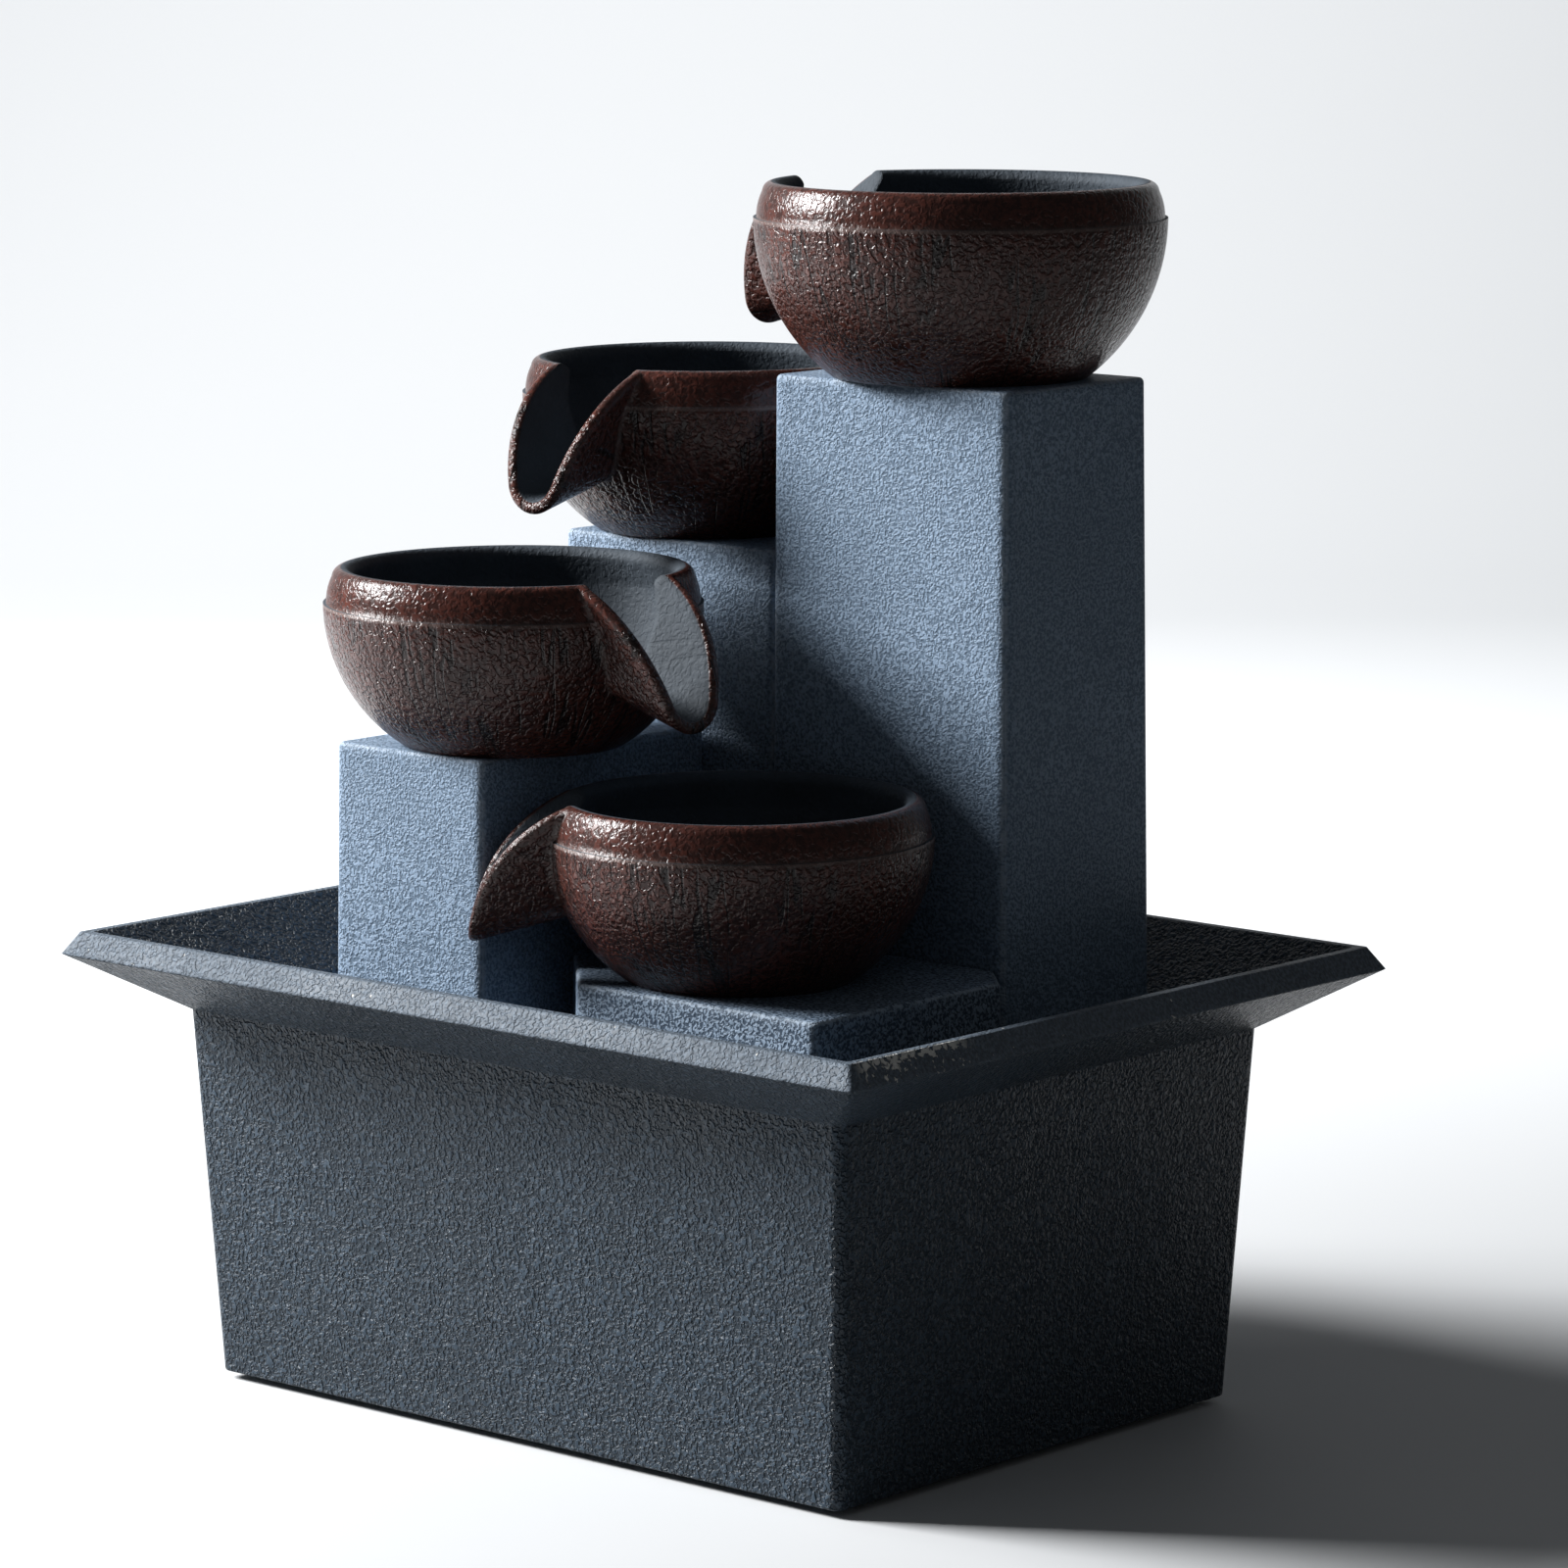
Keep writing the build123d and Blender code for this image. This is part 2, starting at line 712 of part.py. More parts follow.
# Volute cover: the impeller's chamber, with a spoked intake eye and the outlet spigot on top
with BuildPart() as volute_cover:
    with BuildSketch(Plane.YZ.offset(volute_back)):
        with Locations(pump_centre):
            RectangleRounded(pump_width, pump_height, pump_corner)
    extrude(amount=volute_length)
    with BuildSketch(Plane.YZ.offset(volute_back)):
        with Locations(pump_centre):
            Circle(chamber_radius)
    extrude(amount=chamber_end - volute_back, mode=Mode.SUBTRACT)
    with BuildSketch(Plane.YZ.offset(chamber_end)):
        with Locations(pump_centre):
            Circle(eye_radius)
            Circle(hub_radius, mode=Mode.SUBTRACT)
            with PolarLocations(0, spoke_count):
                Rectangle(2 * eye_radius, spoke_width, align=(Align.MIN, Align.CENTER), mode=Mode.SUBTRACT)
    extrude(amount=volute_front, mode=Mode.SUBTRACT)
    with BuildSketch(Plane.YZ.offset(chamber_end)):
        with Locations(pump_centre):
            Circle(bush_radius + seat_clearance)
    extrude(amount=bush_length, mode=Mode.SUBTRACT)
    with BuildSketch(Plane.XY.offset(pump_top_z)):
        with Locations((tall_x, tall_y)):
            Circle(spigot_radius)
    extrude(amount=outlet_length)
    with BuildSketch(Plane.XY.offset(pump_z)):
        with Locations((tall_x, tall_y)):
            Circle(outlet_bore)
    extrude(amount=pump_height / 2 + outlet_length, mode=Mode.SUBTRACT)
save(volute_cover, "volute_cover")

# Shaft, fixed between two bushes, that the rotor turns on
with BuildPart() as impeller_shaft:
    with BuildSketch(Plane.YZ.offset(well_end - bush_length)):
        with Locations(pump_centre):
            Circle(shaft_radius)
    extrude(amount=chamber_end - well_end + 2 * bush_length)
save(impeller_shaft, "impeller_shaft")

# Shaft bushes: one at the well's end, one in the intake eye's hub
with BuildPart() as shaft_bushes:
    for bush_back in (well_end - bush_length, chamber_end):
        with BuildSketch(Plane.YZ.offset(bush_back)):
            with Locations(pump_centre):
                Circle(bush_radius)
                Circle(shaft_radius + seat_clearance, mode=Mode.SUBTRACT)
        extrude(amount=bush_length)
save(shaft_bushes, "shaft_bushes")

# Rotor: the magnet in its well and the vaned wheel in the chamber
with BuildPart() as rotor_magnet:
    with BuildSketch(Plane.YZ.offset(magnet_back)):
        with Locations(pump_centre):
            Circle(magnet_radius)
            Circle(shaft_radius + running_clearance, mode=Mode.SUBTRACT)
    extrude(amount=magnet_length)
save(rotor_magnet, "rotor_magnet")

with BuildPart() as impeller_wheel:
    with BuildSketch(Plane.YZ.offset(wheel_back)):
        with Locations(pump_centre):
            Circle(wheel_hub_radius)
            with PolarLocations(0, vane_count):
                Rectangle(vane_reach, vane_thickness, align=(Align.MIN, Align.CENTER))
            Circle(shaft_radius + running_clearance, mode=Mode.SUBTRACT)
    extrude(amount=wheel_length)
save(impeller_wheel, "impeller_wheel")

# Intake strainer: a slotted cap pushed over the volute cover
strainer_width = pump_width + 2 * strainer_clearance
strainer_height = pump_height + 2 * strainer_clearance
strainer_corner = pump_corner + strainer_clearance
strainer_back = volute_end - strainer_skirt
strainer_front = volute_end + strainer_depth
slot_offset = strainer_width / 2 - slot_edge - slot_pitch / 2 - slot_width / 2
with BuildPart() as intake_strainer:
    with BuildSketch(Plane.YZ.offset(strainer_back)):
        with Locations(pump_centre):
            RectangleRounded(
                strainer_width + 2 * strainer_wall,
                strainer_height + 2 * strainer_wall,
                strainer_corner + strainer_wall,
            )
    extrude(amount=strainer_front - strainer_back)
    fillet(intake_strainer.edges().group_by(Axis.X)[-1], edge_round)
    with BuildSketch(Plane.YZ.offset(strainer_back)):
        with Locations(pump_centre):
            RectangleRounded(strainer_width, strainer_height, strainer_corner)
    extrude(amount=strainer_front - strainer_back - strainer_wall, mode=Mode.SUBTRACT)
    with BuildSketch(Plane.YZ.offset(strainer_front - strainer_wall)):
        with Locations(pump_centre):
            Circle(dial_pin_radius + running_clearance)
            with PolarLocations(port_circle, port_count):
                Circle(port_radius)
            with GridLocations(2 * slot_offset, 0, 2, 1):
                with GridLocations(slot_pitch, 0, slots_per_side, 1):
                    SlotOverall(slot_height, slot_width, rotation=90)
    extrude(amount=strainer_wall, mode=Mode.SUBTRACT)
save(intake_strainer, "intake_strainer")

# Flow dial: a ported disc with a finger grip, held by a collar behind the strainer's face
dial_back = strainer_front + dial_gap
collar_front = strainer_front - strainer_wall - dial_gap
with BuildPart() as flow_dial:
    with BuildSketch(Plane.YZ.offset(dial_back)):
        with Locations(pump_centre):
            Circle(dial_radius)
            with PolarLocations(port_circle, port_count):
                Circle(port_radius, mode=Mode.SUBTRACT)
    extrude(amount=dial_thickness)
    with BuildSketch(Plane.YZ.offset(dial_back + dial_thickness)):
        with Locations(pump_centre):
            SlotOverall(dial_grip_length, dial_grip_width, rotation=180 / port_count)
    extrude(amount=dial_grip_height)
    with BuildSketch(Plane.YZ.offset(collar_front)):
        with Locations(pump_centre):
            Circle(dial_pin_radius)
    extrude(amount=dial_back - collar_front)
    with BuildSketch(Plane.YZ.offset(collar_front - dial_collar)):
        with Locations(pump_centre):
            Circle(dial_collar_radius)
    extrude(amount=dial_collar)
save(flow_dial, "flow_dial")
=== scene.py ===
"""Looks of the tabletop water fountain: finishes, studio light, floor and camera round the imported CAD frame.

Every CAD node keeps its own mesh; the finishes are node materials. Lengths are in metres, angles in degrees.
"""

import logging
from dataclasses import dataclass, field
from enum import Enum
from math import cos, radians, sin
from typing import Optional, Sequence, Union

import bpy
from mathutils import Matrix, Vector


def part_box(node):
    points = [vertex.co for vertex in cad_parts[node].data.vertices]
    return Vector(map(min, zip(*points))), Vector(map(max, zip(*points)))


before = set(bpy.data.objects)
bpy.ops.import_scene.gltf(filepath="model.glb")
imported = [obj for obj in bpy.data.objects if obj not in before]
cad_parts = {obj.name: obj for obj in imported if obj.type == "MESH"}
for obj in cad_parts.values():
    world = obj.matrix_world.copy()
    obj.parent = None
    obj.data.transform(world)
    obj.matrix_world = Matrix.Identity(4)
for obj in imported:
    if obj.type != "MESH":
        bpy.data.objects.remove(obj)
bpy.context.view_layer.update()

LOG = logging.getLogger("fountain")
Socket = bpy.types.NodeSocket
Source = Union[float, Sequence[float], Socket]
Colour = tuple[float, float, float]
Point = tuple[float, float, float]
Span = tuple[float, float]


class Effect(Enum):
    """The shader effects that several finishes share."""

    WORM_GRAIN = "worm_grain"
    COLOUR_DRIFT = "colour_drift"
    EDGE_WEAR = "edge_wear"
    BOWL_ZONES = "bowl_zones"


class Spout(Enum):
    """The way a bowl's spout points, as steps along X and Y."""

    LEFT = (-1, 0)
    FRONT = (0, -1)
    RIGHT = (1, 0)
    FRONT_LEFT = (-1, -1)


def shaded(colour: Colour, factor: float) -> Colour:
    """A colour made lighter or darker.

    Args:
        colour: the colour.
        factor: what each channel is multiplied by.

    Returns:
        The new colour.
    """
    red, green, blue = colour
    return red * factor, green * factor, blue * factor


def towards(azimuth: float, elevation: float) -> Vector:
    """A direction from the object, by degrees round from the front and up from the floor.

    Args:
        azimuth: degrees from the front, positive to the right.
        elevation: degrees above the floor.

    Returns:
        A unit vector.
    """
    a, e = radians(azimuth), radians(elevation)
    return Vector((sin(a) * cos(e), -cos(a) * cos(e), sin(e)))


class Desk:
    """A node tree with short calls that place nodes and wire them."""

    def __init__(self, tree: bpy.types.NodeTree) -> None:
        """Start on an empty tree.

        Args:
            tree: the tree to fill.
        """
        self.tree = tree
        self.tree.nodes.clear()

    def add(self, kind: str, **settings: object) -> bpy.types.Node:
        """Place one node.

        Args:
            kind: the node's type name.
            settings: properties to set on it.

        Returns:
            The new node.
        """
        node = self.tree.nodes.new(kind)
        for name, value in settings.items():
            setattr(node, name, value)
        return node

    def feed(self, socket: Socket, source: Source) -> None:
        """Wire a socket to an output, or set its own value.

        Args:
            socket: the input to fill.
            source: an output socket, a number or a list of numbers.
        """
        if isinstance(source, Socket):
            self.tree.links.new(source, socket)
        elif isinstance(source, (int, float)):
            socket.default_value = float(source)
        else:
            values = list(source)
            if len(socket.default_value) == 4 and len(values) == 3:
                values.append(1.0)
            socket.default_value = values

    def math(self, operation: str, first: Source, second: Optional[Source] = None) -> Socket:
        """A Math node's result.

        Args:
            operation: the node's operation.
            first: its first value.
            second: its second value, where it takes one.

        Returns:
            The output socket.
        """
        node = self.add("ShaderNodeMath", operation=operation)
        self.feed(node.inputs[0], first)
        if second is not None:
            self.feed(node.inputs[1], second)
        return node.outputs[0]

    def product(self, *factors: Source) -> Socket:
        """Several values multiplied.

        Args:
            factors: two or more values.

        Returns:
            The output socket.
        """
        result = factors[0]
        for factor in factors[1:]:
            result = self.math("MULTIPLY", result, factor)
        return result

    def line(self, value: Source, gain: float, base: Source) -> Socket:
        """A value times a gain, plus a base.

        Args:
            value: the value.
            gain: what it is multiplied by.
            base: what is added.

        Returns:
            The output socket.
        """
        return self.math("ADD", base, self.math("MULTIPLY", value, gain))

    def vector(self, operation: str, first: Source, second: Optional[Source] = None) -> Socket:
        """A Vector Math node's result.

        Args:
            operation: the node's operation.
            first: its first vector.
            second: its second vector, where it takes one.

        Returns:
            The output socket: a number for a length or a dot product, otherwise a vector.
        """
        node = self.add("ShaderNodeVectorMath", operation=operation)
        self.feed(node.inputs[0], first)
        if second is not None:
            self.feed(node.inputs[1], second)
        return node.outputs["Value" if operation in ("DOT_PRODUCT", "LENGTH") else "Vector"]

    def scaled(self, vector: Source, factor: Source) -> Socket:
        """A vector times a number.

        Args:
            vector: the vector.
            factor: the number.

        Returns:
            The output socket.
        """
        node = self.add("ShaderNodeVectorMath", operation="SCALE")
        self.feed(node.inputs[0], vector)
        self.feed(node.inputs["Scale"], factor)
        return node.outputs["Vector"]

    def parts(self, vector: Socket) -> tuple[Socket, Socket, Socket]:
        """The X, Y and Z of a vector.

        Args:
            vector: the vector.

        Returns:
            Three output sockets.
        """
        node = self.add("ShaderNodeSeparateXYZ")
        self.feed(node.inputs[0], vector)
        return node.outputs[0], node.outputs[1], node.outputs[2]

    def joined(self, x: Source, y: Source, z: Source) -> Socket:
        """A vector made of three numbers.

        Args:
            x: its X.
            y: its Y.
            z: its Z.

        Returns:
            The output socket.
        """
        node = self.add("ShaderNodeCombineXYZ")
        for socket, source in zip(node.inputs, (x, y, z)):
            self.feed(socket, source)
        return node.outputs[0]

    def step(self, value: Source, low: Source, high: Source) -> Socket:
        """A smooth rise from 0 to 1 as a value goes from low to high.

        Args:
            value: the value.
            low: where the rise starts.
            high: where it ends; below low, the rise runs the other way.

        Returns:
            The output socket.
        """
        node = self.add("ShaderNodeMapRange", interpolation_type="SMOOTHSTEP")
        self.feed(node.inputs["Value"], value)
        self.feed(node.inputs["From Min"], low)
        self.feed(node.inputs["From Max"], high)
        return node.outputs[0]

    def noise(self, place: Source, scale: Source, detail: float, bend: float = 0.0) -> Socket:
        """A noise texture's value.

        Args:
            place: the point it is read at.
            scale: how many features to a metre.
            detail: how many finer layers it has.
            bend: how much its features are distorted.

        Returns:
            The output socket.
        """
        node = self.add("ShaderNodeTexNoise")
        self.feed(node.inputs["Vector"], place)
        self.feed(node.inputs["Scale"], scale)
        self.feed(node.inputs["Detail"], detail)
        self.feed(node.inputs["Distortion"], bend)
        return node.outputs[0]

    def mix(self, factor: Source, first: Source, second: Source) -> Socket:
        """A mix of two colours.

        Args:
            factor: the share of the second.
            first: the first colour.
            second: the second colour.

        Returns:
            The output socket.
        """
        node = self.add("ShaderNodeMix", data_type="RGBA")
        self.feed(node.inputs[0], factor)
        self.feed(node.inputs[6], first)
        self.feed(node.inputs[7], second)
        return node.outputs[2]

    def place(self, effect: Effect, **inputs: Source) -> bpy.types.Node:
        """Place a shared effect.

        Args:
            effect: which one.
            inputs: its input sockets by name.

        Returns:
            The group's node.
        """
        node = self.add("ShaderNodeGroup", node_tree=bpy.data.node_groups[effect.value])
        for name, source in inputs.items():
            self.feed(node.inputs[name], source)
        return node

    def end(self, kind: str, source: bpy.types.Node) -> None:
        """Wire a shader to the tree's output.

        Args:
            kind: the output node's type name.
            source: the shader node.
        """
        self.feed(self.add(kind).inputs["Surface"], source.outputs[0])


@dataclass(frozen=True)
class EffectLibrary:
    """Builds the shared shader effects, each once, as a node group."""

    middle: float = 0.5
    grain_bend: float = 0.5
    swell_share: float = 0.22
    lowest_ridge: float = 0.35
    drift_bend: float = 0.3
    bevel_samples: int = 6
    edge_turn: Span = (0.01, 0.16)
    edge_breaks: Span = (0.36, 0.58)
    inside_facing: Span = (-0.1, 0.12)
    crack_radius: float = 0.037
    crack_squeeze: float = 0.12
    crack_scale: float = 240.0
    crack_bend: float = 0.15
    crack_width: Span = (0.036, 0.010)
    crack_gap_scale: float = 95.0
    crack_gaps: Span = (0.42, 0.54)
    body_start: Span = (0.0, 0.0012)
    ledge_start: Span = (-0.0003, 0.0)
    ledge_end: Span = (0.0009, 0.0004)
    ledge_reach: Span = (0.0006, 0.0002)

    def begin(
        self, effect: Effect, inputs: dict[str, tuple[str, Source]], outputs: Sequence[str]
    ) -> tuple[Desk, bpy.types.Node, bpy.types.Node]:
        """Open a node group with its sockets.

        Args:
            effect: the effect's name.
            inputs: each input's kind and usual value.
            outputs: the outputs' names; one named Normal is a vector and the rest are numbers.

        Returns:
            The desk, the group's input node and its output node.
        """
        tree = bpy.data.node_groups.new(effect.value, "ShaderNodeTree")
        for name, (kind, usual) in inputs.items():
            socket = tree.interface.new_socket(name=name, in_out="INPUT", socket_type=f"NodeSocket{kind}")
            socket.default_value = usual
        for name in outputs:
            kind = "Vector" if name == "Normal" else "Float"
            tree.interface.new_socket(name=name, in_out="OUTPUT", socket_type=f"NodeSocket{kind}")
        desk = Desk(tree)
        return desk, desk.add("NodeGroupInput"), desk.add("NodeGroupOutput")

    def about_middle(self, desk: Desk, value: Socket, spread: Socket) -> Socket:
        """A smooth rise across the middle of a noise.

        Args:
            desk: the group's desk.
            value: the noise.
            spread: how far below and above the middle the rise starts and ends.

        Returns:
            The output socket.
        """
        low = desk.math("SUBTRACT", self.middle, spread)
        high = desk.math("ADD", self.middle, spread)
        return desk.step(value, low, high)

    def worm_grain(self) -> None:
        """Moulded grain: short rounded ridges that wander like worm tracks, with grooves between them."""
        desk, given, out = self.begin(
            Effect.WORM_GRAIN,
            {"Vector": ("Vector", (0, 0, 0)), "Scale": ("Float", 1000.0), "Blur": ("Float", 0.1)},
            ("Height", "Ridge"),
        )
        place, scale = given.outputs["Vector"], given.outputs["Scale"]
        tracks = desk.noise(place, scale, 1.0, self.grain_bend)
        ridge = self.about_middle(desk, tracks, given.outputs["Blur"])
        swell = desk.noise(place, desk.product(scale, self.swell_share), 2.0)
        height = desk.product(ridge, desk.math("ADD", self.lowest_ridge, swell))
        desk.feed(out.inputs["Height"], height)
        desk.feed(out.inputs["Ridge"], ridge)

    def colour_drift(self) -> None:
        """Slow uneven patches, as left by a hand-rubbed coat of paint."""
        desk, given, out = self.begin(
            Effect.COLOUR_DRIFT,
            {"Vector": ("Vector", (0, 0, 0)), "Scale": ("Float", 30.0), "Spread": ("Float", 0.2)},
            ("Drift",),
        )
        patches = desk.noise(given.outputs["Vector"], given.outputs["Scale"], 4.0, self.drift_bend)
        desk.feed(out.inputs["Drift"], self.about_middle(desk, patches, given.outputs["Spread"]))

    def edge_wear(self) -> None:
        """A mask along edges where a coat is rubbed thin, and a normal that rounds the edges off."""
        desk, given, out = self.begin(
            Effect.EDGE_WEAR,
            {"Vector": ("Vector", (0, 0, 0)), "Radius": ("Float", 0.001), "Breaks": ("Float", 250.0)},
            ("Wear", "Normal"),
        )
        bevel = desk.add("ShaderNodeBevel", samples=self.bevel_samples)
        desk.feed(bevel.inputs["Radius"], given.outputs["Radius"])
        straight = desk.add("ShaderNodeNewGeometry").outputs["Normal"]
        turn = desk.math("SUBTRACT", 1.0, desk.vector("DOT_PRODUCT", bevel.outputs[0], straight))
        breaks = desk.noise(given.outputs["Vector"], given.outputs["Breaks"], 4.0)
        wear = desk.product(desk.step(turn, *self.edge_turn), desk.step(breaks, *self.edge_breaks))
        desk.feed(out.inputs["Wear"], wear)
        desk.feed(out.inputs["Normal"], bevel.outputs[0])

    def bowl_zones(self) -> None:
        """Tells a bowl's inside, band, ledge line (which carries a painted highlight) and body apart, and draws
        thin upright cracks down the body.
        """
        desk, given, out = self.begin(
            Effect.BOWL_ZONES,
            {
                "Vector": ("Vector", (0, 0, 0)),
                "Normal": ("Vector", (0, 0, 1)),
                "Mouth": ("Vector", (0, 0, 0)),
                "Groove": ("Float", 0.0),
                "Belly": ("Float", 0.0),
            },
            ("Inside", "Cracks", "Body", "LedgeHighlight"),
        )
        place = given.outputs["Vector"]
        to_mouth = desk.vector("SUBTRACT", given.outputs["Mouth"], place)
        facing = desk.vector("DOT_PRODUCT", desk.vector("NORMALIZE", to_mouth), given.outputs["Normal"])
        off_x, off_y, off_z = desk.parts(to_mouth)
        off_axis = desk.joined(off_x, off_y, 0.0)
        ring = desk.scaled(desk.vector("NORMALIZE", off_axis), self.crack_radius)
        upright = desk.vector("ADD", ring, desk.joined(0.0, 0.0, desk.product(off_z, self.crack_squeeze)))
        pattern = desk.noise(upright, self.crack_scale, 2.0, self.crack_bend)
        off_line = desk.math("ABSOLUTE", desk.math("SUBTRACT", pattern, self.middle))
        kept = desk.step(desk.noise(place, self.crack_gap_scale, 2.0), *self.crack_gaps)
        below = desk.math("SUBTRACT", given.outputs["Groove"], desk.parts(place)[2])
        body = desk.step(below, *self.body_start)
        past = desk.math("SUBTRACT", desk.vector("LENGTH", off_axis), given.outputs["Belly"])
        # The ledge mask is a thin line just under the groove, within the belly's reach; it carries a painted
        # highlight.
        on_line = desk.product(desk.step(below, *self.ledge_start), desk.step(below, *self.ledge_end))
        desk.feed(out.inputs["Inside"], desk.step(facing, *self.inside_facing))
        desk.feed(out.inputs["Cracks"], desk.product(desk.step(off_line, *self.crack_width), kept, body))
        desk.feed(out.inputs["Body"], body)
        desk.feed(out.inputs["LedgeHighlight"], desk.product(on_line, desk.step(past, *self.ledge_reach)))

    def build(self) -> None:
        """Build every effect."""
        self.worm_grain()
        self.colour_drift()
        self.edge_wear()
        self.bowl_zones()


@dataclass(frozen=True)
class Marks:
    """The shared effects as they fall on one finish."""

    height: Socket
    ridge: Socket
    drift: Socket
    wear: Socket
    normal: Socket


@dataclass(frozen=True)
class Coat:
    """What a finish sends to its shader."""

    colour: Socket
    height: Socket
    roughness: Socket
    normal: Socket


@dataclass(frozen=True)
class Finish:
    """What every finish has: a name, a gloss, a grain, and a way to make its material."""

    name: str
    roughness: float = 0.5
    specular: float = 0.5
    relief: float = 0.00004
    grain_scale: float = 1500.0
    grain_blur: float = 0.15
    drift_scale: float = 60.0
    drift_spread: float = 0.2
    wear_radius: float = 0.0005
    wear_breaks: float = 500.0

    def marks(self, desk: Desk, place: Socket) -> Marks:
        """Place the shared effects with this finish's settings.

        Args:
            desk: the material's desk.
            place: the point on the surface.

        Returns:
            Their outputs.
        """
        grain = desk.place(Effect.WORM_GRAIN, Vector=place, Scale=self.grain_scale, Blur=self.grain_blur)
        drift = desk.place(Effect.COLOUR_DRIFT, Vector=place, Scale=self.drift_scale, Spread=self.drift_spread)
        edge = desk.place(Effect.EDGE_WEAR, Vector=place, Radius=self.wear_radius, Breaks=self.wear_breaks)
        return Marks(
            height=grain.outputs["Height"],
            ridge=grain.outputs["Ridge"],
            drift=drift.outputs["Drift"],
            wear=edge.outputs["Wear"],
            normal=edge.outputs["Normal"],
        )

    def coat(self, desk: Desk, place: Socket, normal: Socket) -> Coat:
        """The finish's own nodes.

        Args:
            desk: the material's desk.
            place: the point on the surface.
            normal: the surface's normal at rest.

        Returns:
            What goes to the shader.
        """
        raise NotImplementedError

    def set_shader(self, shader: bpy.types.Node) -> None:
        """Set the values that are the same all over.

        Args:
            shader: the material's shader.
        """
        shader.inputs["Specular IOR Level"].default_value = self.specular

    def material(self) -> bpy.types.Material:
        """Make the material.

        Returns:
            A new material with this finish.
        """
        material = bpy.data.materials.new(self.name)
        material.use_nodes = True
        desk = Desk(material.node_tree)
        coordinates = desk.add("ShaderNodeTexCoord")
        coat = self.coat(desk, coordinates.outputs["Object"], coordinates.outputs["Normal"])
        relief = desk.add("ShaderNodeBump")
        relief.inputs["Strength"].default_value = 1.0
        relief.inputs["Distance"].default_value = self.relief
        desk.feed(relief.inputs["Height"], coat.height)
        desk.feed(relief.inputs["Normal"], coat.normal)
        shader = desk.add("ShaderNodeBsdfPrincipled")
        desk.feed(shader.inputs["Base Color"], coat.colour)
        desk.feed(shader.inputs["Roughness"], coat.roughness)
        desk.feed(shader.inputs["Normal"], relief.outputs[0])
        self.set_shader(shader)
        desk.end("ShaderNodeOutputMaterial", shader)
        return material


